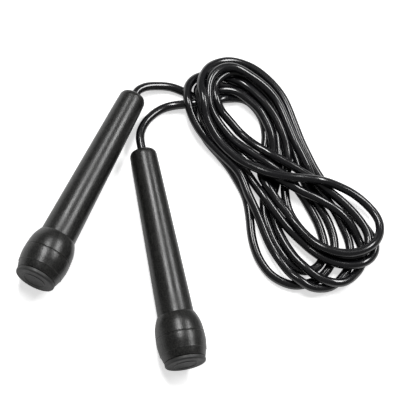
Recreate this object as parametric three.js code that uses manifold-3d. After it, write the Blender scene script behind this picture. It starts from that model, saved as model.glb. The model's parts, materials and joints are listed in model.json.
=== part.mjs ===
// Speed rope with two hollow moulded handles, lying on a flat surface with its cord hanked.
// Millimetres, +Z up. The origin is on the surface, under the middle of the two handles.
//
// Each handle is a one-piece moulding: a domed nose with a bell-mouthed bore, a tapered
// shaft and a barrel-shaped butt, closed by a snap-in end cap. The cord runs in through the
// nose, through a thrust washer, and ends in a rolled ferrule that can't pull back out. The
// handle turns freely round the ferrule, which is what lets the rope spin.

import * as THREE from 'three';
import { mergeVertices } from 'three/addons/utils/BufferGeometryUtils.js';
import Module from 'manifold-3d';

const wasm = await Module();
wasm.setup();

// ---- driving dimensions ----------------------------------------------------------------

const CORD_DIAMETER = 5.6;

const DOME_LENGTH = 4;            // nose tip to the shaft
const NOSE_RADIUS = 8.56;         // where the dome meets the shaft
const SHAFT_LENGTH = 106.5;       // dome to the butt's shoulder
const SHAFT_END_RADIUS = 11.35;
const BULB_LENGTH = 28.5;         // the barrel-shaped butt, from its shoulder to its rim
const BULB_RADIUS = 15.25;
const BULB_STEP = 0.3;            // mismatch of the two mould halves at the parting line
const RIM_RADIUS = 12.8;          // butt rim and end cap, where they meet

const BORE_CLEARANCE = 0.6;       // cord to nose bore, on the radius
const BELL_FLARE = 1.3;           // extra radius of the bore at the nose tip
const NOSE_WEB = 5.2;             // material between the nose tip and the washer's seat
const CAVITY_NOSE_RADIUS = 6.3;
const CAVITY_SHAFT_RADIUS = 8.4;
const MOUTH_RADIUS = 10.65;       // opening that the end cap plugs

const CAP_RIM = 2.7;              // visible thickness of the end cap
const CAP_EDGE = 1.3;             // rounding of its outer edge
const SPIGOT_LENGTH = 10;
const SPIGOT_WALL = 1.6;
const SPIGOT_CLEARANCE = 0.45;    // spigot to mouth, on the radius
const SNAP_HEIGHT = 0.2;          // the snap bead stands this far out of the spigot
const SNAP_LENGTH = 1.2;
const SNAP_SLOT = 1.6;            // width of the cross slots that let the spigot flex
const RELIEF_RADIUS = 7.6;        // raised ring on the cap's face
const RELIEF_WIDTH = 1.2;
const RELIEF_HEIGHT = 0.4;

const WASHER_THICKNESS = 1.5;
const WASHER_BORE_CLEARANCE = 0.5;
const WASHER_EDGE_CLEARANCE = 0.6;

const FERRULE_LENGTH = 12;
const FERRULE_WALL = 1.3;
const FERRULE_GROOVE = 0.45;      // depth of each crimp groove
const FERRULE_SEAM = 0.7;         // the gap where the rolled edges meet

const HANK_HEIGHT = 22;           // the thickest stack of turns, where they cross

const GAP = 0.3;                  // between pieces that touch

// Where each handle lies: its nose tip on the plan, and the direction from nose to cap,
// in degrees from +X towards +Y.
const PLACES = {
  left: { tip: [17.88, 88.25], heading: -117.26 },
  right: { tip: [22.18, 51.15], heading: -80.8 },
};

// The free cord from each nose to the hank, as points chosen by hand, [x, y, height].
const ROUTES = {
  left: [[20.4, 91.9, 8.0], [24.2, 94.4, 7.2], [28.6, 95.8, 6.3], [33.4, 96.6, 5.1],
    [38.5, 97.1, 3.9], [44, 96.6, 3.1], [49.5, 94.7, 2.8]],
  right: [[21.1, 58.1, 7.8], [21.3, 62.6, 7.0], [22.9, 67.4, 6.0], [25.5, 72, 5.0],
    [29.1, 76.2, 4.1], [33.5, 80, 3.4], [38.8, 82.9, 3.1], [44.5, 84.2, 3.9], [49.5, 84.4, 5.5]],
};

// Plan outlines of the hank: its outer edge, and the openings inside its two lobes.
const HANK_OUTLINE = [[54, 68.1], [63.5, 51.6], [76.5, 33.6], [85, 19.1], [85, -3.9], [90.5, -22.9],
  [105.5, -36.4], [126.5, -41.4], [143.5, -38.4], [164.5, -26.9], [176, -14.9], [179, 5.1], [170.5, 25.1],
  [154.5, 36.6], [139.5, 41.1], [132.5, 55.1], [127.5, 77.1], [115.5, 99.1], [98.5, 113.1], [79.5, 118.6], [63.5, 112.1],
  [51.5, 97.1], [50.7, 85.1]];
const HANK_OPENINGS = [
  [[72.5, 83.1], [81, 87.6], [90.2, 86.1], [96.5, 75.1], [99, 61.1], [87.5, 66.1]],
  [[114.5, 26.1], [120, 25.1], [128.5, 10.1], [132.5, -0.9], [122.5, 7.1], [115, 17.1]],
];

// ---- sizes worked out from them --------------------------------------------------------

const cordRadius = CORD_DIAMETER / 2;
const boreRadius = cordRadius + BORE_CLEARANCE;
const bulbStart = DOME_LENGTH + SHAFT_LENGTH;
const rimStation = bulbStart + BULB_LENGTH;
const capSeat = rimStation + GAP;
const handleLength = capSeat + CAP_RIM;
const spigotRadius = MOUTH_RADIUS - SPIGOT_CLEARANCE;
const spigotEnd = capSeat - SPIGOT_LENGTH;
const washerStart = NOSE_WEB + GAP;
const ferruleStart = washerStart + WASHER_THICKNESS + GAP;
const ferruleBore = cordRadius + GAP;
const ferruleRadius = ferruleBore + FERRULE_WALL;
const cordStart = ferruleStart + FERRULE_LENGTH - GAP;

// ---- finishes --------------------------------------------------------------------------

const FINISHES = {
  handle: { color: 0x1c1c1c, roughness: 0.5, metalness: 0 },
  cap: { color: 0x242424, roughness: 0.6, metalness: 0 },
  cord: { color: 0x0b0b0c, roughness: 0.2, metalness: 0 },
  washer: { color: 0xe4e0d6, roughness: 0.45, metalness: 0 },
  ferrule: { color: 0x9a9c9e, roughness: 0.35, metalness: 1 },
};

function named(name, geometry, finish) {
  const mesh = new THREE.Mesh(geometry, new THREE.MeshStandardMaterial(FINISHES[finish]));
  mesh.name = name;
  return mesh;
}

// ---- solids of revolution --------------------------------------------------------------

// A lathe profile is a list of [station, radius]. Its axis becomes +Z, nose at 0.
function turned(profile, segments = 36) {
  const points = profile.map(([station, radius]) => new THREE.Vector2(radius, station));
  points.push(points[0].clone());
  return new THREE.LatheGeometry(points, segments).rotateX(Math.PI / 2);
}

// A curve through a few [station, radius] points, as a list of such points.
function swept(through, divisions) {
  const curve = new THREE.SplineCurve(through.map(([station, radius]) => new THREE.Vector2(station, radius)));
  return curve.getPoints(divisions).map((point) => [point.x, point.y]);
}

function dome() {
  const curve = new THREE.QuadraticBezierCurve(
    new THREE.Vector2(0, boreRadius + BELL_FLARE),
    new THREE.Vector2(0.1 * DOME_LENGTH, 0.95 * NOSE_RADIUS),
    new THREE.Vector2(DOME_LENGTH, NOSE_RADIUS),
  );
  return curve.getPoints(6).map((point) => [point.x, point.y]);
}

// The barrel-shaped butt, nose side and cap side of its parting line.
function barrel() {
  const at = (share) => bulbStart + share * BULB_LENGTH;
  const rise = BULB_RADIUS - SHAFT_END_RADIUS;
  const front = swept([[at(0), SHAFT_END_RADIUS + 0.14 * rise], [at(0.06), SHAFT_END_RADIUS + 0.36 * rise],
    [at(0.22), SHAFT_END_RADIUS + 0.76 * rise], [at(0.44), SHAFT_END_RADIUS + 0.96 * rise],
    [at(0.62), BULB_RADIUS], [at(0.84), BULB_RADIUS - 0.2 * rise]], 12);
  const partingRadius = BULB_RADIUS - 0.2 * rise - BULB_STEP;
  const back = swept([[at(0.85), partingRadius], [at(0.94), 0.45 * partingRadius + 0.55 * RIM_RADIUS],
    [at(1), RIM_RADIUS]], 3);
  return [...front, ...back];
}

function cavity() {
  const grooveEnd = spigotEnd + GAP + SNAP_LENGTH + 2 * GAP;
  const grooveRadius = MOUTH_RADIUS + SNAP_HEIGHT + GAP;
  return [
    [rimStation, MOUTH_RADIUS],
    [grooveEnd + GAP, MOUTH_RADIUS],
    [grooveEnd, grooveRadius],
    [spigotEnd - GAP, grooveRadius],
    [spigotEnd - 2 * GAP, MOUTH_RADIUS],
    [bulbStart + 0.2 * BULB_LENGTH, MOUTH_RADIUS],
    [bulbStart - 0.1 * BULB_LENGTH, CAVITY_SHAFT_RADIUS],
    [NOSE_WEB, CAVITY_NOSE_RADIUS],
    [NOSE_WEB, boreRadius],
    [0.6 * NOSE_WEB, boreRadius],
    [0.25 * NOSE_WEB, boreRadius + 0.4 * BELL_FLARE],
  ];
}

function handleBody() {
  return turned([...dome(), [bulbStart, SHAFT_END_RADIUS], ...barrel(), ...cavity()]);
}

// ---- booleans --------------------------------------------------------------------------

function solid(geometry) {
  const bare = geometry.index ? geometry.toNonIndexed() : geometry.clone();
  for (const name of Object.keys(bare.attributes)) {
    if (name !== 'position') bare.deleteAttribute(name);
  }
  const merged = mergeVertices(bare, 1e-4);
  return new wasm.Manifold(new wasm.Mesh({
    numProp: 3,
    vertProperties: new Float32Array(merged.attributes.position.array),
    triVerts: new Uint32Array(merged.index.array),
  }));
}

function geometryOf(manifold) {
  const mesh = manifold.getMesh();
  const geometry = new THREE.BufferGeometry();
  geometry.setAttribute('position', new THREE.BufferAttribute(new Float32Array(mesh.vertProperties), 3));
  geometry.setIndex(new THREE.BufferAttribute(new Uint32Array(mesh.triVerts), 1));
  return geometry;
}

function boxAt(width, depth, height, x, y, z) {
  return new THREE.BoxGeometry(width, depth, height).translate(x, y, z);
}

// ---- pieces inside and on the handle ---------------------------------------------------

// The end cap: a disc with a rounded edge and a raised ring, and a slotted spigot behind it.
function endCap() {
  const edge = new THREE.EllipseCurve(handleLength - CAP_EDGE, RIM_RADIUS - CAP_EDGE,
    CAP_EDGE, CAP_EDGE, Math.PI / 2, 0, true);
  const rounded = edge.getPoints(4).map((point) => [point.x, point.y]);
  const inner = spigotRadius - SPIGOT_WALL;
  const snapStart = spigotEnd + GAP;
  const profile = [
    [handleLength, 0],
    [handleLength, RELIEF_RADIUS - RELIEF_WIDTH],
    [handleLength + RELIEF_HEIGHT, RELIEF_RADIUS - 0.75 * RELIEF_WIDTH],
    [handleLength + RELIEF_HEIGHT, RELIEF_RADIUS - 0.25 * RELIEF_WIDTH],
    [handleLength, RELIEF_RADIUS],
    ...rounded.reverse(),
    [capSeat, RIM_RADIUS - GAP],
    [capSeat, spigotRadius],
    [snapStart + SNAP_LENGTH, spigotRadius],
    [snapStart + 0.6 * SNAP_LENGTH, spigotRadius + SNAP_HEIGHT],
    [snapStart + 0.4 * SNAP_LENGTH, spigotRadius + SNAP_HEIGHT],
    [spigotEnd, spigotRadius - GAP],
    [spigotEnd, inner],
    [capSeat, inner],
    [capSeat, 0],
  ];
  const points = profile.map(([station, radius]) => new THREE.Vector2(radius, station)).reverse();
  const cup = new THREE.LatheGeometry(points, 36).rotateX(Math.PI / 2);
  const slotDepth = 0.7 * SPIGOT_LENGTH;
  const slotMiddle = spigotEnd + slotDepth / 2 - GAP;
  const across = 3 * spigotRadius;
  const slotX = solid(boxAt(across, SNAP_SLOT, slotDepth, 0, 0, slotMiddle));
  const slotY = solid(boxAt(SNAP_SLOT, across, slotDepth, 0, 0, slotMiddle));
  return geometryOf(solid(cup).subtract(slotX).subtract(slotY));
}

function stopWasher() {
  const inner = cordRadius + WASHER_BORE_CLEARANCE;
  const outer = CAVITY_NOSE_RADIUS - WASHER_EDGE_CLEARANCE;
  const end = washerStart + WASHER_THICKNESS;
  return turned([[washerStart, inner], [washerStart, outer], [end, outer], [end, inner]], 24);
}

// The ferrule: a rolled metal sleeve with two crimp grooves and the seam where its edges meet.
function ferrule() {
  const at = (share) => ferruleStart + share * FERRULE_LENGTH;
  const profile = [[at(0), ferruleBore], [at(0), ferruleRadius]];
  for (const middle of [0.3, 0.7]) {
    profile.push([at(middle - 0.1), ferruleRadius], [at(middle - 0.04), ferruleRadius - FERRULE_GROOVE],
      [at(middle + 0.04), ferruleRadius - FERRULE_GROOVE], [at(middle + 0.1), ferruleRadius]);
  }
  profile.push([at(1), ferruleRadius], [at(1), ferruleBore]);
  const sleeve = solid(turned(profile, 24));
  const seam = solid(boxAt(FERRULE_SEAM, 2 * ferruleRadius, 2 * FERRULE_LENGTH, 0, ferruleRadius, at(0.5)));
  return geometryOf(sleeve.subtract(seam));
}

// ---- the cord --------------------------------------------------------------------------

// A plain round tube from inside the ferrule, out along the handle's axis, then by the route.
function freeCord(handle, route) {
  const inside = [cordStart, 0.6 * cordStart, NOSE_WEB];
  const points = inside.map((station) => handle.localToWorld(new THREE.Vector3(0, 0, station)));
  points.push(...route.map(([x, y, z]) => new THREE.Vector3(x, y, z)));
  const path = new THREE.CatmullRomCurve3(points, false, 'centripetal');
  const section = new THREE.Shape().absarc(0, 0, cordRadius, 0, 2 * Math.PI);
  const steps = Math.round(path.getLength() / CORD_DIAMETER);
  return new THREE.ExtrudeGeometry(section, { steps, curveSegments: 10, extrudePath: path });
}

function closedCurve(outline, divisions) {
  const curve = new THREE.CatmullRomCurve3(outline.map(([x, y]) => new THREE.Vector3(x, y, 0)), true);
  return curve.getPoints(divisions).slice(0, -1).map((point) => new THREE.Vector2(point.x, point.y));
}

// The hank: one plain solid of the outer shape of all its turns, open inside both lobes.
function hank() {
  const shape = new THREE.Shape(closedCurve(HANK_OUTLINE, 69));
  for (const opening of HANK_OPENINGS) shape.holes.push(new THREE.Path(closedCurve(opening, 18)));
  return new THREE.ExtrudeGeometry(shape, { depth: HANK_HEIGHT, bevelEnabled: false });
}

// ---- assembly --------------------------------------------------------------------------

const rope = new THREE.Group();

for (const [side, place] of Object.entries(PLACES)) {
  const handle = new THREE.Group();
  const body = named(`${side}_handle_body`, handleBody(), 'handle');
  handle.add(body);
  handle.add(named(`${side}_end_cap`, endCap(), 'cap'));
  handle.add(named(`${side}_stop_washer`, stopWasher(), 'washer'));
  handle.add(named(`${side}_ferrule`, ferrule(), 'ferrule'));

  // The handle lies on its nose edge and on its butt, so its axis climbs towards the cap.
  const restSpan = bulbStart + 0.62 * BULB_LENGTH - DOME_LENGTH;
  const climb = Math.atan((BULB_RADIUS - NOSE_RADIUS) / restSpan);
  const heading = THREE.MathUtils.degToRad(place.heading);
  const toCap = new THREE.Vector3(
    Math.cos(climb) * Math.cos(heading),
    Math.cos(climb) * Math.sin(heading),
    Math.sin(climb),
  );
  handle.quaternion.setFromUnitVectors(new THREE.Vector3(0, 0, 1), toCap);
  handle.position.set(place.tip[0], place.tip[1], 0);
  handle.updateMatrixWorld(true);
  handle.position.z = -new THREE.Box3().setFromObject(body, true).min.z;
  handle.updateMatrixWorld(true);
  rope.add(handle);

  rope.add(named(`rope_${side}_end`, freeCord(handle, ROUTES[side]), 'cord'));
}

rope.add(named('rope_hank', hank(), 'cord'));

export default rope;
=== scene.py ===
# %% [markdown]
# # A speed rope, laid up in a twisted hank
# Two hollow moulded handles are joined by one long black PVC cord. The CAD frame gives the handles'
# places and joints. This lesson adds the looks: first the camera and the cord, because the cord's
# lie decides the whole picture, then the handles, their end caps, the finishes and the light.

# %% The frame
import json
import math
import bmesh
import bpy
import numpy as np
from mathutils import Matrix, Vector

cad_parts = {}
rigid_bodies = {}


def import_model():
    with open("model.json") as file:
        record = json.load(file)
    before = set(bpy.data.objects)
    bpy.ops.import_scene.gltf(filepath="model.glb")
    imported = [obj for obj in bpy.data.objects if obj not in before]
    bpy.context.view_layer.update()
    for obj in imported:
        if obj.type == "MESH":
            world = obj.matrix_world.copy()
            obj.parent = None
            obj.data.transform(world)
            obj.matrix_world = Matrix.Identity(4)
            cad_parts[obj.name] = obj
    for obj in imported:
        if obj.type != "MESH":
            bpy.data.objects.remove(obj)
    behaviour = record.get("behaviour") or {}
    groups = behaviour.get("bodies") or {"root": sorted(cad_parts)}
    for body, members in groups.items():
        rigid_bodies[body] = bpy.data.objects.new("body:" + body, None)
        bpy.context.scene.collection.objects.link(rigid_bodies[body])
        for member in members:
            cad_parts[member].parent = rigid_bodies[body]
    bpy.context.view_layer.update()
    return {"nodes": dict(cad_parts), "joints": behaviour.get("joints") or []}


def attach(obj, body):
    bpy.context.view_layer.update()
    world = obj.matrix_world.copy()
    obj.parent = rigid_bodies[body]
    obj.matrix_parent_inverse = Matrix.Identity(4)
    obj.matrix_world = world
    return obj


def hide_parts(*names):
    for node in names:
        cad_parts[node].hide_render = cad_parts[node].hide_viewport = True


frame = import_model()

MM = 0.001
scene = bpy.context.scene

# %% [markdown]
# ## The camera
# The view is a long lens, high above the table and turned a little, so the hank and both handles
# fill the frame. A long lens keeps the handles' sides nearly parallel. The camera is aimed at a
# point on the table and then rolled about its own line of sight.

# %% Camera
CAMERA_PLACE = Vector((-0.1661, -0.3808, 1.1902))
CAMERA_AIM = Vector((0.05975, 0.0223, 0.0))
CAMERA_ROLL = math.radians(29.26)
CAMERA_LENS = 181.8

camera_data = bpy.data.cameras.new("camera")
camera_data.lens = CAMERA_LENS
camera_data.sensor_width = 36
camera_data.clip_end = 10
camera = bpy.data.objects.new("camera", camera_data)
scene.collection.objects.link(camera)
sight = (CAMERA_AIM - CAMERA_PLACE).to_track_quat("-Z", "Y").to_matrix().to_4x4()
roll = Matrix.Rotation(CAMERA_ROLL, 4, "Z")
camera.matrix_world = Matrix.Translation(CAMERA_PLACE) @ sight @ roll
scene.camera = camera
print("camera up", [round(value, 4) for value in camera.matrix_world.to_3x3() @ Vector((0, 1, 0))])

# %% [markdown]
# ## The cord's two free ends
# The cord is stiff enough to hold a curve but lies down under its own weight. From the bell mouth
# of each nose it comes straight out, sinks to the table and runs to the hank, where the right end
# climbs again because it crosses over the left one. The points are listed as
# [x, y, height] in millimetres, and are the same ones that the CAD tubes follow.

# %% Free ends
CORD_DIAMETER = 5.6 * MM
CORD_RADIUS = CORD_DIAMETER / 2
LEFT_END = [(20.4, 91.9, 8.0), (24.2, 94.4, 7.2), (28.6, 95.8, 6.3), (33.4, 96.6, 5.1),
            (38.5, 97.1, 3.9), (44, 96.6, 3.1), (49.5, 94.7, 2.8)]
RIGHT_END = [(21.1, 58.1, 7.8), (21.3, 62.6, 7.0), (22.9, 67.4, 6.0), (25.5, 72, 5.0),
             (29.1, 76.2, 4.1), (33.5, 80, 3.4), (38.8, 82.9, 3.1), (44.5, 84.2, 3.9),
             (49.5, 84.4, 5.5)]

# %% [markdown]
# ## The hank's seven turns
# Each turn goes down the left band, round the lower lobe, up the right band and back over the top.
# Four turns are twisted: they cross over the middle like a figure eight. Three stay plain. A turn
# is put together from three short stretches, each a list of (x, y, layer): the places are in
# millimetres, and a layer is how many cords lie below. Places count from the outer edge of the left
# band and from the inner edge of the right band. Along the bands the even places lie on the table
# and the odd ones nest on them, as round cords do. Where turns cross they lie up to four high.

# %% Left band, by place from the outer edge
LEFT_BAND = [
    [(54.6, 92.2, 0), (58.3, 88.2, 0), (59.8, 83.2, 0), (60.2, 77, 0), (62.2, 69.5, 0),
     (66, 61.1, 0), (72, 55.1, 0), (80, 43.1, 0)],
    [(52, 92.1, 1.3), (52.5, 83.1, 2), (55, 74.1, 1.6), (58, 68.1, .9), (65, 59.1, .9),
     (72, 52.1, .9), (79, 44.1, .9), (86, 37.1, .9)],
    [(56, 92.6, 1.3), (56.4, 85.6, 1.9), (60, 77.1, 1.1), (64, 70.1, .1), (71, 62.1, 0),
     (78, 55.1, 0), (85, 48.1, .2), (91, 40.1, .9)],
    [(62, 101.1, 2.7), (60, 92.1, 2.9), (60, 82.1, 2.9), (62, 73.1, 2.2), (66, 65.1, 1.4),
     (71, 57.1, .9), (78, 49.1, .9), (86, 44.1, 1.4), (96, 39.1, 2), (104, 36.1, 2.6)],
    [(63.6, 91.5, 1.3), (62, 85.5, 1.9), (63.2, 79.5, 1.3), (66.8, 72.1, .3), (71, 66.1, .1),
     (79, 58.1, .1), (87, 50.1, .5), (95, 44.1, 1.1), (104, 38.1, 1.7), (112, 36.1, 2)],
    [(66, 98.1, 2.2), (65, 92.1, 2.1), (65, 82.1, 1.9), (69, 76.1, 1.2), (74, 67.1, .9),
     (80, 60.1, .9), (87, 53.1, 1.2), (95, 47.1, 1.7), (103, 41.1, 2)],
    [(66, 93.1, 1.4), (67, 87.1, 1.1), (72, 80.1, .7), (77, 76.1, .1), (83, 69.1, 0),
     (90, 62.1, .4), (97, 57.1, 1.2), (104, 52.1, 1.9), (111, 48.1, 2), (119, 44.1, 2)],
]

# %% Lower lobe, by place in the left band
LOWER_LOBE = [
    [(86, 31.1, 0), (90, 23.1, 0), (91, 10.1, 0), (92, -3.9, 0), (96, -16.9, 0), (103, -26.9, 0),
     (111, -31.9, 0), (121, -33.9, 0), (131, -30.9, 0), (140, -22.9, 0), (144, -14.9, 0),
     (145, -3.9, 0), (143, 6.1, 0), (138, 17.1, 0), (133, 27.1, 0), (129, 37.1, 0)],
    [(87, 27.1, .7), (92, 18.1, .3), (97, 7.1, 0), (103, -7.9, 0), (109, -18.9, .2),
     (117, -28.9, .6), (125, -33.9, .8), (135, -35.9, .8), (146, -31.9, .6), (153, -22.9, .3),
     (156, -14.9, .1), (155, -3.9, 0), (153, 6.1, 0), (147, 18.1, 0), (139, 29.1, 0),
     (133, 37.1, 0)],
    [(94, 33.1, 1), (100, 23.1, 1), (107, 12.1, 1), (116, 2.1, 1), (126, -6.9, 1),
     (134, -13.9, 1.1), (143, -17.9, 1.1), (154, -18.9, 1.1), (164, -16.9, 1.1),
     (172, -10.9, 1.1), (172, -3.9, 1), (166, 5.1, .8), (157, 15.1, .6), (149, 23.1, .6),
     (140, 29.1, .8), (134, 35.1, .6)],
    [(112, 34.1, 3), (121, 34.1, 3), (132, 33.1, 3), (144, 31.1, 3), (157, 27.1, 2.6),
     (166, 20.1, 2.3), (172, 13.1, 2.1), (174, 3.1, 2), (170, -4.9, 2), (162, -11.9, 2),
     (152, -14.9, 2), (142, -13.9, 2), (134, -10.9, 2), (128, -5.9, 1.8), (121, 1.1, 1.6),
     (116, 9.1, 1.5), (111, 17.1, 1.4), (106, 25.1, 1.2), (103, 33.1, .6)],
    [(115, 34.1, 1.8), (120, 29.1, 1.5), (129, 25.1, 1.2), (140, 19.1, 1), (150, 11.1, .6),
     (157, 2.1, .4), (163, -6.9, .4), (164, -14.9, .6), (159, -22.9, .9), (152, -28.9, 1.2),
     (144, -32.9, 1.3), (135, -30.9, 1), (125, -24.9, .8), (116, -14.9, .5), (109, -3.9, .2),
     (105, 7.1, 0), (103, 18.1, 0), (106, 29.1, 0), (110, 41.1, 0)],
    [(110, 37.1, 1.9), (117, 33.1, 1.3), (123, 27.1, .6), (129, 19.1, .2), (134, 9.1, 0),
     (137, -0.9, 0), (137, -10.9, 0), (135, -18.9, 0), (130, -24.9, 0), (122, -25.9, 0),
     (115, -18.9, 0), (109, -8.9, 0), (105, 1.1, 0), (103, 13.1, 0), (101, 23.1, 0),
     (102, 36.1, .3)],
    [(126, 40.1, 2), (133, 35.1, 2), (141, 30.1, 1.6), (150, 22.1, 1.2), (158, 14.1, 1),
     (164, 5.1, 1), (168, -3.9, 1), (166, -10.9, 1), (159, -15.9, 1), (148, -15.9, 1),
     (139, -12.9, 1), (131, -5.9, .8), (123, 4.1, .6), (117, 14.1, .3), (114, 24.1, .1),
     (114, 36.1, .1)],
]

# %% Right band and top, by place from the inner edge
RIGHT_BAND = [
    [(101, 46.1, 0), (105, 61.1, 0), (103, 75.1, 0), (99, 85.1, 0), (93, 91.1, 0), (86, 93.1, 0),
     (79.5, 91.6, .05), (73.5, 89.3, .25), (67.5, 87, .65), (60, 84.9, .97), (54.6, 84.4, .82)],
    [(107, 49.1, .7), (106, 61.1, .9), (103, 72.1, .9), (98, 82.1, .9), (92, 88.1, .8),
     (86, 92.6, .7), (77.1, 97.1, .7), (71.9, 97.3, .8), (67.1, 95.3, 1)],
    [(111, 52.1, 0), (113, 64.1, 0), (109, 77.1, 0), (103, 87.1, 0), (96, 95.1, 0),
     (89, 100.1, 0), (80, 102.1, 0), (70, 102.3, .1), (63, 101, .4), (58.6, 97.8, .9)],
    [(115, 49.1, .8), (113, 63.1, .9), (110, 74.1, .9), (104, 84.1, .8), (96, 93.1, .7),
     (88, 99.1, .5), (80, 104.1, .1), (72, 106.1, 0), (63, 106.1, 0), (56, 100.1, .4)],
    [(126, 49.1, 0), (119, 64.1, 0), (113, 78.1, 0), (108, 89.1, 0), (100, 97.1, .1),
     (92, 102.1, .3), (83, 105.1, .7), (76, 104.1, 1.2), (69, 99.1, 1.6)],
    [(128, 45.1, .6), (120, 61.1, .9), (115, 76.1, .9), (110, 89.1, .9), (103, 97.1, 1),
     (93, 103.1, 1.2), (84, 107.1, 1.5), (75, 108.1, 1.9), (69, 104.1, 2.2)],
    [(132, 46.1, 0), (128, 56.1, 0), (125, 67.1, 0), (121, 79.1, 0), (116, 93.1, .2),
     (107, 104.1, .5), (96, 113.1, .8), (85, 116.1, 1.1), (75, 115.1, 1.5), (67, 109.1, 1.9)],
]

# %% [markdown]
# ## One cord from end to end
# The turns follow each other in the order in which the cord was wound. A plain turn goes round its
# lower lobe the other way from a twisted one. The places of all the points are joined by a
# Catmull-Rom curve, and the curve is cut into equal short steps.

# %% The cord's plan
WOUND_LEFT = (0, 6, 1, 5, 4, 2, 3)
WOUND_RIGHT = (4, 3, 5, 1, 2, 6, 0)
LAYER = 6.0 * MM
STEP = 2.8 * MM


def even_steps(points, step):
    """Cuts a line into equal steps without changing its course."""
    reach = np.r_[0, np.cumsum(np.linalg.norm(np.diff(points, axis=0), axis=1))]
    stations = np.linspace(0, reach[-1], int(round(reach[-1] / step)) + 1)
    return np.stack([np.interp(stations, reach, points[:, axis]) for axis in range(3)], 1)


def smooth_line(points, step, divisions=16):
    """A centripetal Catmull-Rom curve through the points."""
    padded = np.vstack([2 * points[0] - points[1], points, 2 * points[-1] - points[-2]])
    line = []
    for a, b, c, d in zip(padded, padded[1:], padded[2:], padded[3:]):
        spans = [math.sqrt(np.linalg.norm(q - p)) for p, q in ((a, b), (b, c), (c, d))]
        knots = np.cumsum([0] + spans)
        t = np.linspace(knots[1], knots[2], divisions, endpoint=False)[:, None]

        def between(p, q, low, high):
            return ((knots[high] - t) * p + (t - knots[low]) * q) / (knots[high] - knots[low])

        first, middle, last = between(a, b, 0, 1), between(b, c, 1, 2), between(c, d, 2, 3)
        line.append(between(between(first, middle, 0, 2), between(middle, last, 1, 3), 1, 2))
    return even_steps(np.vstack(line + [points[-1:]]), step)


def placed(stretch):
    """Turns [x, y, layer] in millimetres into places in metres."""
    return [(x * MM, y * MM, CORD_RADIUS + layer * LAYER) for x, y, layer in stretch]


plan = [(x * MM, y * MM, z * MM) for x, y, z in LEFT_END]
for left, right in zip(WOUND_LEFT, WOUND_RIGHT):
    lobe = LOWER_LOBE[left]
    plan += placed(LEFT_BAND[left]) + placed(lobe) + placed(RIGHT_BAND[right])
plan += [(x * MM, y * MM, z * MM) for x, y, z in reversed(RIGHT_END)]
plan = smooth_line(np.array(plan), STEP)
print("cord plan:", len(plan), "steps")

# %% [markdown]
# ## Letting the cord settle
# A real cord finds its own lie: the turns push each other apart until they only touch, they sink
# until something carries them, and the cord's stiffness keeps every curve long and even. A small
# simulation does that. In each round every step of the cord is pushed out of the steps it overlaps,
# pulled down a little, held near its plan, and kept from bending sharply. The moves are smoothed
# along the cord, so no kink can form. The free ends stay as planned until they have crossed each
# other. The simulation has no chance in it, so it ends the same way every time.

# %% Settling sizes and helpers
HELD_LEFT, HELD_RIGHT = 18, 22     # steps of the two free ends that stay as planned
RELEASE = 5                        # steps over which the cord becomes free to move
SPREAD = 3                         # steps over which a push is shared along the cord
STIFFNESS, HOLD, SINK, PUSH = 10.0, 0.03, 0.03 * MM, 1.2
ROUNDS, GROWING, EASING = 1000, 150, 850
TIGHTEST = 2.2 * CORD_DIAMETER     # radius of the sharpest curve that this cord takes
SOFT_START, CLEARANCE = 0.6, 1.01  # share of the cord's thickness that counts, first and last
WATCHED, RESORT = 1.4, 6           # reach of a pair in thicknesses, and rounds between searches
OWN_BEND = 2.2                     # thicknesses along the cord that never count as a pair
EASED, UNBEND = 0.1, 1.5           # strength of the late rounds, and of the bend limit
FLOOR_SPREAD = 2                   # steps over which the table's push is shared


def shared(moves, spread):
    """Spreads each move along the cord as a soft bell."""
    kernel = np.exp(-0.5 * (np.arange(-3 * spread, 3 * spread + 1) / spread) ** 2)
    kernel /= kernel.sum()
    padded = np.pad(moves, ((3 * spread, 3 * spread), (0, 0)), mode="edge")
    return np.stack([np.convolve(padded[:, axis], kernel, mode="valid")
                     for axis in range(moves.shape[1])], 1)


def neighbours(line, reach, apart):
    """Pairs of steps that lie close but are far apart along the cord."""
    gaps = ((line[:, None, :] - line[None, :, :]) ** 2).sum(2)
    first, second = np.nonzero(gaps < reach * reach)
    later = second - first >= apart
    return first[later], second[later]


# %% [markdown]
# Each round does the same things in the same order: contacts push, stiffness evens the drift from
# the plan, sharp bends open, and the table carries what has sunk. In the last rounds only the
# contacts and the bend limit still work at full strength.

# %% Settling rounds


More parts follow.
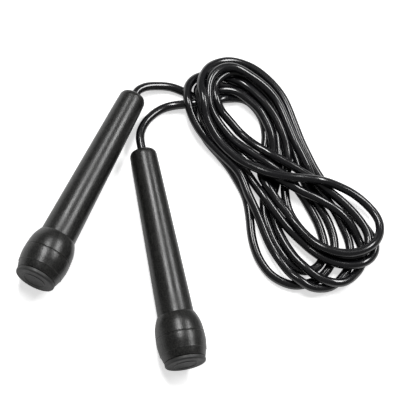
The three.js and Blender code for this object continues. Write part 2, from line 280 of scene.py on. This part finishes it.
def settled(line):
    """Lets the planned cord find its own lie."""
    start = line.copy()
    count = len(line)
    place = np.minimum(np.arange(count) - HELD_LEFT, count - 1 - HELD_RIGHT - np.arange(count))
    free = np.clip((place + 1) / RELEASE, 0, 1)[:, None]
    apart = math.ceil(OWN_BEND * CORD_DIAMETER / STEP) + 1
    for turn in range(ROUNDS):
        if turn % RESORT == 0:
            first, second = neighbours(line, WATCHED * CORD_DIAMETER, apart)
        easing = EASED if turn > EASING else 1.0
        grown = min(1, SOFT_START + (1 - SOFT_START) * turn / GROWING)
        wanted = CLEARANCE * CORD_DIAMETER * grown
        across = line[second] - line[first]
        gap = np.linalg.norm(across, axis=1)
        close = gap < wanted
        away = 0.5 * (wanted / np.maximum(gap[close], 1e-6) - 1)[:, None] * across[close]
        moves, touches = np.zeros_like(line), np.zeros(count)
        np.add.at(moves, first[close], -away)
        np.add.at(moves, second[close], away)
        np.add.at(touches, first[close], 1)
        np.add.at(touches, second[close], 1)
        moves *= PUSH / np.maximum(touches, 1)[:, None]
        drift = line - start
        drift[:, 2] = line[:, 2]
        bend = np.zeros_like(line)
        bend[2:-2] = drift[:-4] - 4 * drift[1:-3] + 6 * drift[2:-2] - 4 * drift[3:-1] + drift[4:]
        moves -= easing * STIFFNESS * shared(bend, SPREAD)
        curl = line[:-2] - 2 * line[1:-1] + line[2:]
        size = np.maximum(np.linalg.norm(curl, axis=1), 1e-9)[:, None]
        moves[1:-1] += UNBEND * curl * np.maximum(1 - STEP ** 2 / TIGHTEST / size, 0)
        moves[:, :2] -= easing * HOLD * drift[:, :2]
        moves[:, 2] -= easing * SINK
        line = line + shared(moves * free, SPREAD) * free
        under = np.maximum(CORD_RADIUS - line[:, 2], 0)
        line[:, 2] += shared(under[:, None], FLOOR_SPREAD)[:, 0] * free[:, 0]
    line[:, 2] = np.maximum(line[:, 2], CORD_RADIUS)
    return line


# The plan is evened out first, so that small wobbles between the stretches vanish.
EVENING = 8                        # steps over which the evened plan takes over
evened = 2 * shared(plan, SPREAD) - shared(shared(plan, SPREAD), SPREAD)
steps = np.arange(len(plan))
share = np.clip(np.minimum(steps - HELD_LEFT, steps[::-1] - HELD_RIGHT) / EVENING, 0, 1)[:, None]
cord_line = settled(even_steps(plan * (1 - share) + evened * share, STEP))
print("settled: highest", round(1000 * (cord_line[:, 2].max() + CORD_RADIUS), 1), "mm")

# %% [markdown]
# ## The cord as one curve
# The settled steps become one open curve with a round section, so the cord has the same thickness
# everywhere. Inside each handle it runs on the handle's axis, through the stop washer and into the
# ferrule; the joints give that axis and the nose tip.

# %% Cord piece
INSIDE_STATIONS = (19.0 * MM, 11.4 * MM, 5.2 * MM)
CURVE_STEP, CURVE_DIVISIONS = 1.9 * MM, 6


def joint(name):
    return next(entry for entry in frame["joints"] if entry["name"] == name)


def handle_axis(side):
    """The nose tip, and the direction from nose to cap."""
    spin = joint(side + "_handle_spin")
    return Vector(spin["pos_m"]), Vector(spin["axis"]).normalized()


def inside(side):
    tip, away = handle_axis(side)
    return [tuple(tip + station * away) for station in INSIDE_STATIONS]


whole = np.vstack([inside("left"), cord_line, inside("right")[::-1]])
whole = smooth_line(whole, CURVE_STEP, CURVE_DIVISIONS)
cord_curve = bpy.data.curves.new("rope", "CURVE")
cord_curve.dimensions = "3D"
spline = cord_curve.splines.new("POLY")
spline.points.add(len(whole) - 1)
spline.points.foreach_set("co", np.c_[whole, np.ones(len(whole))].ravel())
spline.use_smooth = True
cord_curve.bevel_depth = CORD_RADIUS
cord_curve.bevel_resolution = 6
cord_curve.use_fill_caps = True
rope = bpy.data.objects.new("rope", cord_curve)
scene.collection.objects.link(rope)

# %% [markdown]
# ## Turning a moulding
# The handle bodies, end caps and their details are all turned shapes, so one helper makes them. It
# takes a profile of [station, radius] points along the handle, from the nose tip towards the cap,
# and spins it into rings of faces. Many rings and segments keep the highlights smooth. The mesh is
# built along its own Z axis, and the object is then laid on the handle's axis, so a finish can use
# the distance along the handle.

# %% Turned pieces
SEGMENTS = 96
SHARP_ANGLE = math.radians(32)     # a steeper edge between two faces is drawn sharp


def curved(points, divisions):
    """A smooth curve through [station, radius] points."""
    flat = np.array([(station, radius, 0) for station, radius in points], float)
    length = np.linalg.norm(np.diff(flat, axis=0), axis=1).sum()
    return [tuple(point[:2]) for point in smooth_line(flat, length / divisions)]


def turned(name, profile, closed):
    """Spins a profile of [station, radius] in millimetres about Z."""
    mesh = bmesh.new()
    rings = []
    for station, radius in profile:
        if radius == 0:
            rings.append([mesh.verts.new((0, 0, station * MM))])
            continue
        angles = [2 * math.pi * step / SEGMENTS for step in range(SEGMENTS)]
        circle = [(radius * math.cos(angle), radius * math.sin(angle)) for angle in angles]
        rings.append([mesh.verts.new((x * MM, y * MM, station * MM)) for x, y in circle])
    pairs = list(zip(rings, rings[1:] + rings[:1])) if closed else list(zip(rings, rings[1:]))
    for ring, following in pairs:
        for step in range(SEGMENTS):
            ahead = (step + 1) % SEGMENTS
            corners = [ring[step % len(ring)], ring[ahead % len(ring)],
                       following[ahead % len(following)], following[step % len(following)]]
            unique = list(dict.fromkeys(corners))
            if len(unique) > 2:
                mesh.faces.new(unique)
    bmesh.ops.recalc_face_normals(mesh, faces=mesh.faces)
    data = bpy.data.meshes.new(name)
    mesh.to_mesh(data)
    mesh.free()
    data.polygons.foreach_set("use_smooth", [True] * len(data.polygons))
    data.set_sharp_from_angle(angle=SHARP_ANGLE)
    piece = bpy.data.objects.new(name, data)
    scene.collection.objects.link(piece)
    return piece


def laid_on_handle(piece, side):
    tip, away = handle_axis(side)
    piece.matrix_world = Matrix.Translation(tip) @ away.to_track_quat("Z", "Y").to_matrix().to_4x4()


# %% [markdown]
# ## The handle bodies
# Each handle is one hollow polypropylene moulding: a blunt nose with a bell-mouthed bore for the
# cord, a long shaft that widens towards the hand's heel, and a barrel-shaped butt that stops the
# hand. The two halves of the mould meet a little before the butt's rim, where one half is a touch
# smaller, and a fine witness line runs round the butt. The bore and the hollow are modelled too,
# because the cord goes in at one end and the cap comes off at the other.

# %% Handle sizes
DOME_LENGTH, NOSE_RADIUS = 4.0, 8.56
SHOULDER_STATION, SHOULDER_RADIUS = 0.4, 8.13     # the corner that rounds the nose
BULB_START, SHAFT_END_RADIUS = 110.5, 11.35
BULB_LENGTH, BULB_RADIUS, RIM_RADIUS = 28.5, 15.25, 12.8
MOULD_STEP, WITNESS_SHARE, WITNESS_DEPTH = 0.3, 0.48, 0.28
BORE_RADIUS, BELL_RADIUS, NOSE_WEB = 3.4, 4.7, 5.2
CAVITY_NOSE, CAVITY_SHAFT, MOUTH_RADIUS = 6.3, 8.4, 10.65
RIM_STATION = BULB_START + BULB_LENGTH
DOME_RINGS, SHAFT_RINGS_APART = 16, 6
GROOVE_HALF_WIDTH, GROOVE_REACH = 0.26, 0.6       # of the witness line
GROOVE_OFFSETS = (-0.5, -0.34, -0.22, -0.1, 0.0, 0.1, 0.22, 0.34, 0.5)
BARREL_RINGS, BACK_RINGS, LEAST_GAP = 46, 12, 0.04

# %% Outside of the handle


def dome_profile():
    """The nose, from the bell mouth to the shaft."""
    points = []
    for step in range(DOME_RINGS + 1):
        t = step / DOME_RINGS
        station = 2 * (1 - t) * t * SHOULDER_STATION + t * t * DOME_LENGTH
        radius = ((1 - t) ** 2 * BELL_RADIUS + 2 * (1 - t) * t * SHOULDER_RADIUS
                  + t * t * NOSE_RADIUS)
        points.append((station, radius))
    return points


def barrel_profile():
    """The butt, with its witness line and the step between the two mould halves."""
    rise = BULB_RADIUS - SHAFT_END_RADIUS
    shares = ((0, 0.14), (0.06, 0.36), (0.22, 0.76), (0.44, 0.96), (0.62, 1.0), (0.84, 0.8))
    front = curved([(BULB_START + share * BULB_LENGTH, SHAFT_END_RADIUS + height * rise)
                    for share, height in shares], BARREL_RINGS)
    witness = BULB_START + WITNESS_SHARE * BULB_LENGTH
    grooved = [point for point in front if abs(point[0] - witness) > GROOVE_REACH]
    for offset in GROOVE_OFFSETS:
        near = min(front, key=lambda point: abs(point[0] - witness - offset))
        depth = WITNESS_DEPTH * math.exp(-(offset / GROOVE_HALF_WIDTH) ** 2)
        grooved.append((witness + offset, near[1] - depth))
    grooved.sort()
    cleared = [grooved[0]]
    for point in grooved[1:]:
        if point[0] - cleared[-1][0] > LEAST_GAP:
            cleared.append(point)
    parting = SHAFT_END_RADIUS + 0.8 * rise - MOULD_STEP
    back = curved([(BULB_START + 0.846 * BULB_LENGTH, parting),
                   (BULB_START + 0.94 * BULB_LENGTH, 0.45 * parting + 0.55 * RIM_RADIUS),
                   (RIM_STATION - 0.15, RIM_RADIUS + 0.08)], BACK_RINGS)
    return cleared + back + [(RIM_STATION, RIM_RADIUS - 0.12)]


def shaft_profile():
    """The taper, with a small fillet where it meets the butt."""
    taper = (SHAFT_END_RADIUS - NOSE_RADIUS) / (BULB_START - DOME_LENGTH)
    fillet = [(BULB_START - 0.5, SHAFT_END_RADIUS - 0.5 * taper),
              (BULB_START - 0.15, SHAFT_END_RADIUS + 0.04), (BULB_START, SHAFT_END_RADIUS + 0.25)]
    middle = [(station, NOSE_RADIUS + taper * (station - DOME_LENGTH))
              for station in range(7, 109, SHAFT_RINGS_APART)]
    return middle + fillet


# %% Inside of the handle


def hollow_profile():
    """From the mouth, past the snap groove, down the hollow and out through the bore."""
    groove, groove_radius = RIM_STATION - 8.0, MOUTH_RADIUS + 0.5
    return [(RIM_STATION, MOUTH_RADIUS), (groove, MOUTH_RADIUS), (groove - 0.3, groove_radius),
            (groove - 2.0, groove_radius), (groove - 2.3, MOUTH_RADIUS),
            (BULB_START + 0.2 * BULB_LENGTH, MOUTH_RADIUS),
            (BULB_START - 0.1 * BULB_LENGTH, CAVITY_SHAFT), (NOSE_WEB, CAVITY_NOSE),
            (NOSE_WEB, BORE_RADIUS), (3.1, BORE_RADIUS), (2.1, BORE_RADIUS + 0.2),
            (1.2, BORE_RADIUS + 0.56), (0.5, BELL_RADIUS - 0.4)]


body_profile = dome_profile() + shaft_profile() + barrel_profile() + hollow_profile()
bodies = {}
for side in ("left", "right"):
    bodies[side] = turned(side + "_moulded_handle", body_profile, closed=True)
    laid_on_handle(bodies[side], side)
print("handle body:", len(body_profile), "rings,", len(bodies["left"].data.polygons), "faces")

# %% [markdown]
# ## The end caps
# A snap-in cap closes each butt: a disc with a rounded edge, and behind it a thin spigot with a
# snap bead, cut by cross slots so that it can flex. A plain raised ring finishes the face. The
# slots are cut with a boolean, which suits a few straight cuts through a thin wall.

# %% End caps
GAP, CAP_RIM, CAP_EDGE = 0.3, 2.7, 1.3
CAP_SEAT = RIM_STATION + GAP
FACE_STATION = CAP_SEAT + CAP_RIM
SPIGOT_RADIUS, SPIGOT_BORE, SPIGOT_LENGTH, SNAP_HEIGHT = 10.2, 8.6, 10.0, 0.2
RING_RADIUS, RING_WIDTH, RING_HEIGHT = 7.6, 1.2, 0.4
SLOT_WIDTH, SLOT_DEPTH = 1.6, 7.0
EDGE_RINGS, CUTTER_LENGTH, CUTTER_EXTRA = 12, 26.0, 0.5


def cap_profile():
    """The cap, from the middle of its face to the bottom of its cup."""
    spigot_end = CAP_SEAT - SPIGOT_LENGTH
    snap = spigot_end + 0.9
    ring = [(FACE_STATION, RING_RADIUS - RING_WIDTH),
            (FACE_STATION + 0.12, RING_RADIUS - RING_WIDTH + 0.08),
            (FACE_STATION + RING_HEIGHT - 0.06, RING_RADIUS - 0.8 * RING_WIDTH),
            (FACE_STATION + RING_HEIGHT, RING_RADIUS - 0.62 * RING_WIDTH),
            (FACE_STATION + RING_HEIGHT, RING_RADIUS - 0.38 * RING_WIDTH),
            (FACE_STATION + RING_HEIGHT - 0.06, RING_RADIUS - 0.2 * RING_WIDTH),
            (FACE_STATION + 0.12, RING_RADIUS - 0.08), (FACE_STATION, RING_RADIUS)]
    edge = []
    for step in range(EDGE_RINGS + 1):
        angle = math.radians(90 * step / EDGE_RINGS)
        edge.append((FACE_STATION - CAP_EDGE + CAP_EDGE * math.cos(angle),
                     RIM_RADIUS - CAP_EDGE + CAP_EDGE * math.sin(angle)))
    seat = [(CAP_SEAT + 0.15, RIM_RADIUS), (CAP_SEAT, RIM_RADIUS - 0.3), (CAP_SEAT, SPIGOT_RADIUS)]
    bead = [(snap + 0.4, SPIGOT_RADIUS), (snap + 0.12, SPIGOT_RADIUS + SNAP_HEIGHT),
            (snap - 0.12, SPIGOT_RADIUS + SNAP_HEIGHT), (spigot_end, SPIGOT_RADIUS - 0.3)]
    cup = [(spigot_end, SPIGOT_BORE), (CAP_SEAT, SPIGOT_BORE), (CAP_SEAT, 0)]
    return [(FACE_STATION, 0), (FACE_STATION, 3.0)] + ring + edge + seat + bead + cup


def slotted(cap):
    """Cuts the two cross slots into the free end of the spigot."""
    cutter = bmesh.new()
    for width, depth in ((SLOT_WIDTH, CUTTER_LENGTH), (CUTTER_LENGTH, SLOT_WIDTH)):
        low, height = CAP_SEAT - SPIGOT_LENGTH - CUTTER_EXTRA, SLOT_DEPTH + CUTTER_EXTRA
        size = Matrix.Diagonal((width * MM, depth * MM, height * MM, 1))
        middle = Matrix.Translation((0, 0, (low + height / 2) * MM))
        bmesh.ops.create_cube(cutter, size=1.0, matrix=middle @ size)
    data = bpy.data.meshes.new("slot_cutter")
    cutter.to_mesh(data)
    cutter.free()
    tool = bpy.data.objects.new("slot_cutter", data)
    scene.collection.objects.link(tool)
    cut = cap.modifiers.new("slots", "BOOLEAN")
    cut.operation, cut.solver, cut.object, cut.use_self = "DIFFERENCE", "EXACT", tool, True
    bpy.context.view_layer.update()
    graph = bpy.context.evaluated_depsgraph_get()
    result = bpy.data.meshes.new_from_object(cap.evaluated_get(graph))
    cap.modifiers.clear()
    cap.data = result
    cap.data.set_sharp_from_angle(angle=SHARP_ANGLE)
    bpy.data.objects.remove(tool)


caps = {}
for side in ("left", "right"):
    caps[side] = turned(side + "_snap_cap", cap_profile(), closed=False)
    slotted(caps[side])
    laid_on_handle(caps[side], side)
print("end cap:", len(caps["left"].data.polygons), "faces")

# %% [markdown]
# ## Shared effects
# Three small shader groups serve several finishes. Moulded grain is the fine leathery texture that
# an etched mould leaves. Handling marks are soft patches where hands have polished the surface. A
# cord's skin has faint long waves from the extruder. Each group gives only heights and masks, and
# the material decides what to do with them.

# %% Shader helpers


def effect(name, inputs, outputs):
    group = bpy.data.node_groups.new(name, "ShaderNodeTree")
    for label, default in inputs:
        socket = group.interface.new_socket(label, in_out="INPUT", socket_type="NodeSocketFloat")
        socket.default_value = default
    for label in outputs:
        group.interface.new_socket(label, in_out="OUTPUT", socket_type="NodeSocketFloat")
    return group, group.nodes.new("NodeGroupInput"), group.nodes.new("NodeGroupOutput")


def math_node(tree, operation, first, second):
    node = tree.nodes.new("ShaderNodeMath")
    node.operation = operation
    for socket, value in zip(node.inputs, (first, second)):
        if isinstance(value, (int, float)):
            socket.default_value = value
        else:
            tree.links.new(value, socket)
    return node.outputs[0]


def place_node(tree):
    return tree.nodes.new("ShaderNodeTexCoord").outputs["Object"]


# %% Shader groups
grain, given, result = effect("moulded_grain", [("Size", 1500.0)], ["Height", "Speckle"])
place = place_node(grain)
pits = grain.nodes.new("ShaderNodeTexVoronoi")
pits.feature = "SMOOTH_F1"
grain.links.new(place, pits.inputs["Vector"])
grain.links.new(given.outputs["Size"], pits.inputs["Scale"])
cloud = grain.nodes.new("ShaderNodeTexNoise")
cloud.inputs["Detail"].default_value = 3
grain.links.new(place, cloud.inputs["Vector"])
grain.links.new(math_node(grain, "MULTIPLY", given.outputs["Size"], 0.9), cloud.inputs["Scale"])
height = math_node(grain, "ADD", pits.outputs["Distance"], cloud.outputs["Fac"])
grain.links.new(math_node(grain, "MULTIPLY", height, 0.5), result.inputs["Height"])
flecks = grain.nodes.new("ShaderNodeClamp")
centred = math_node(grain, "SUBTRACT", cloud.outputs["Fac"], 0.5)
sharper = math_node(grain, "MULTIPLY", centred, 5.0)
grain.links.new(math_node(grain, "ADD", sharper, 0.5), flecks.inputs["Value"])
grain.links.new(flecks.outputs[0], result.inputs["Speckle"])

handling, given, result = effect("handling_marks", [("Size", 60.0), ("Contrast", 3.0)], ["Mask"])
patches = handling.nodes.new("ShaderNodeTexNoise")
patches.inputs["Detail"].default_value = 4
handling.links.new(place_node(handling), patches.inputs["Vector"])
handling.links.new(given.outputs["Size"], patches.inputs["Scale"])
centred = math_node(handling, "SUBTRACT", patches.outputs["Fac"], 0.5)
spread_out = math_node(handling, "MULTIPLY", centred, given.outputs["Contrast"])
mask = handling.nodes.new("ShaderNodeClamp")
handling.links.new(math_node(handling, "ADD", spread_out, 0.5), mask.inputs["Value"])
handling.links.new(mask.outputs[0], result.inputs["Mask"])

skin, given, result = effect("extruded_skin", [("Size", 90.0)], ["Height", "Dust"])
waves = skin.nodes.new("ShaderNodeTexNoise")
waves.inputs["Detail"].default_value = 1
skin.links.new(place_node(skin), waves.inputs["Vector"])
skin.links.new(given.outputs["Size"], waves.inputs["Scale"])
specks = skin.nodes.new("ShaderNodeTexNoise")
specks.inputs["Scale"].default_value = 1800
specks.inputs["Detail"].default_value = 2
skin.links.new(place_node(skin), specks.inputs["Vector"])
skin.links.new(waves.outputs["Fac"], result.inputs["Height"])
skin.links.new(math_node(skin, "GREATER_THAN", specks.outputs["Fac"], 0.68), result.inputs["Dust"])
print("shader groups:", [group.name for group in bpy.data.node_groups])

# %% [markdown]
# ## The finishes
# Black plastic is never one flat black. The handles are satin: the grain breaks their highlights
# into a fine sparkle, and roughness changes in soft patches. The caps come from another mould and
# are duller and greyer. The cord is glossy PVC, with sharp highlights that its faint waves bend a
# little. Inside the handles there are a natural nylon washer and a zinc-plated ferrule.

# %% Finish helper


def finish(name, color, roughness, **values):
    material = bpy.data.materials.new(name)
    material.use_nodes = True
    shader = material.node_tree.nodes["Principled BSDF"]
    shader.inputs["Base Color"].default_value = (*color, 1)
    shader.inputs["Roughness"].default_value = roughness
    for label, value in values.items():
        shader.inputs[label.replace("_", " ")].default_value = value
    return material, material.node_tree, shader


def use(tree, group, **values):
    node = tree.nodes.new("ShaderNodeGroup")
    node.node_tree = group
    for label, value in values.items():
        node.inputs[label].default_value = value
    return node


def varied_color(tree, shader, mask, low, high):
    mix = tree.nodes.new("ShaderNodeMix")
    mix.data_type = "RGBA"
    tree.links.new(mask, mix.inputs["Factor"])
    mix.inputs["A"].default_value = (*low, 1)
    mix.inputs["B"].default_value = (*high, 1)
    tree.links.new(mix.outputs["Result"], shader.inputs["Base Color"])


def varied_roughness(tree, shader, mask, low, high):
    scaled = tree.nodes.new("ShaderNodeMapRange")
    tree.links.new(mask, scaled.inputs["Value"])
    scaled.inputs["To Min"].default_value = low
    scaled.inputs["To Max"].default_value = high
    tree.links.new(scaled.outputs[0], shader.inputs["Roughness"])


def bumped(tree, shader, height, strength, distance):
    bump = tree.nodes.new("ShaderNodeBump")
    bump.inputs["Strength"].default_value = strength
    bump.inputs["Distance"].default_value = distance
    tree.links.new(height, bump.inputs["Height"])
    tree.links.new(bump.outputs["Normal"], shader.inputs["Normal"])


# %% Plastic finishes
satin, tree, shader = finish("satin_moulded_plastic", (0.020, 0.020, 0.019), 0.4)
texture = use(tree, grain, Size=1350.0)
marks = use(tree, handling, Size=55.0, Contrast=3.0)
varied_color(tree, shader, texture.outputs["Speckle"],
             (0.001, 0.001, 0.001), (0.019, 0.019, 0.0175))
varied_roughness(tree, shader, marks.outputs["Mask"], 0.29, 0.37)
bumped(tree, shader, texture.outputs["Height"], 0.5, 0.18 * MM)

matt, tree, shader = finish("matt_cap_plastic", (0.034, 0.034, 0.034), 0.5)
texture = use(tree, grain, Size=1900.0)
marks = use(tree, handling, Size=120.0, Contrast=2.5)
varied_color(tree, shader, marks.outputs["Mask"], (0.022, 0.022, 0.022), (0.036, 0.036, 0.035))
varied_roughness(tree, shader, texture.outputs["Speckle"], 0.46, 0.58)
bumped(tree, shader, texture.outputs["Height"], 0.2, 0.07 * MM)

pvc, tree, shader = finish("glossy_cord_pvc", (0.010, 0.009, 0.010), 0.16)
shader.inputs["Coat Weight"].default_value = 0.3
shader.inputs["Coat Roughness"].default_value = 0.08
texture = use(tree, skin, Size=70.0)
varied_color(tree, shader, texture.outputs["Dust"], (0.004, 0.004, 0.005), (0.03, 0.03, 0.03))
varied_roughness(tree, shader, texture.outputs["Height"], 0.16, 0.26)
bumped(tree, shader, texture.outputs["Height"], 0.1, 0.3 * MM)

# %% Finishes inside the handle
nylon, tree, shader = finish("natural_nylon", (0.76, 0.73, 0.66), 0.45, Subsurface_Weight=0.1)
marks = use(tree, handling, Size=400.0, Contrast=2.0)
varied_color(tree, shader, marks.outputs["Mask"], (0.70, 0.66, 0.58), (0.80, 0.77, 0.71))

zinc, tree, shader = finish("zinc_plated_steel", (0.55, 0.56, 0.57), 0.35, Metallic=1.0)
marks = use(tree, handling, Size=300.0, Contrast=3.0)
varied_roughness(tree, shader, marks.outputs["Mask"], 0.26, 0.48)
varied_color(tree, shader, marks.outputs["Mask"], (0.48, 0.49, 0.50), (0.62, 0.63, 0.63))

rope.data.materials.append(pvc)
for side in ("left", "right"):
    for piece, material in ((bodies[side], satin), (caps[side], matt)):
        piece.data.materials.clear()
        piece.data.materials.append(material)
    frame["nodes"][side + "_stop_washer"].material_slots[0].material = nylon
    frame["nodes"][side + "_ferrule"].material_slots[0].material = zinc
print("finishes:", [material.name for material in (satin, matt, pvc, nylon, zinc)])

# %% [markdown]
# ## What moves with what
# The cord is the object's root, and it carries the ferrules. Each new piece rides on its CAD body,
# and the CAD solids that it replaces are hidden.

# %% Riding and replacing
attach(rope, "rope")
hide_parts("rope_hank", "rope_left_end", "rope_right_end")
for side in ("left", "right"):
    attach(bodies[side], side + "_handle")
    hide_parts(side + "_handle_body")
    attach(caps[side], side + "_cap")
    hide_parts(side + "_end_cap")

# %% [markdown]
# ## Floor and light
# Black gloss shows its surroundings, so the light is what gives the shapes. Two soft boxes, one
# high behind the object on its left and one high at the right, make the two long highlights along
# every handle and every turn of the cord. A pale floor and a weak white surround fill the rest. The
# floor glows in the camera's own view only, so it looks white without lighting the object.

# %% Studio
FLOOR_GLOW = 0.6
floor_mesh = bmesh.new()
bmesh.ops.create_grid(floor_mesh, x_segments=1, y_segments=1, size=3.0)
floor_data = bpy.data.meshes.new("studio_floor")
floor_mesh.to_mesh(floor_data)
floor_mesh.free()
floor = bpy.data.objects.new("studio_floor", floor_data)
scene.collection.objects.link(floor)
paper, tree, shader = finish("pale_paper", (0.92, 0.92, 0.92), 0.8)
ray = tree.nodes.new("ShaderNodeLightPath")
shader.inputs["Emission Color"].default_value = (1, 1, 1, 1)
lift = math_node(tree, "MULTIPLY", ray.outputs["Is Camera Ray"], FLOOR_GLOW)
tree.links.new(lift, shader.inputs["Emission Strength"])
floor_data.materials.append(paper)

# %% Lights
AIM = Vector((0.05, 0.0, 0.01))


def soft_box(name, direction, distance, size, power):
    """A box light that faces the object, with its long side towards the back of the table."""
    data = bpy.data.lights.new(name, "AREA")
    data.shape, data.size, data.size_y, data.energy = "RECTANGLE", size[0], size[1], power
    light = bpy.data.objects.new(name, data)
    back = Vector(direction).normalized()
    across = Vector((0, 1, 0)).cross(back).normalized()
    turn = Matrix((across, back.cross(across), back)).transposed()
    light.matrix_world = Matrix.Translation(AIM + back * distance) @ turn.to_4x4()
    scene.collection.objects.link(light)


soft_box("back_left_box", (-0.2, 0.42, 0.85), 1.2, (0.2, 0.6), 10.0)
soft_box("right_box", (0.54, 0.32, 0.77), 1.2, (0.2, 0.6), 8.0)

surround = bpy.data.worlds.new("surround")
surround.use_nodes = True
surround.node_tree.nodes["Background"].inputs["Color"].default_value = (1, 1, 1, 1)
surround.node_tree.nodes["Background"].inputs["Strength"].default_value = 0.18
scene.world = surround
scene.view_settings.view_transform = "Standard"
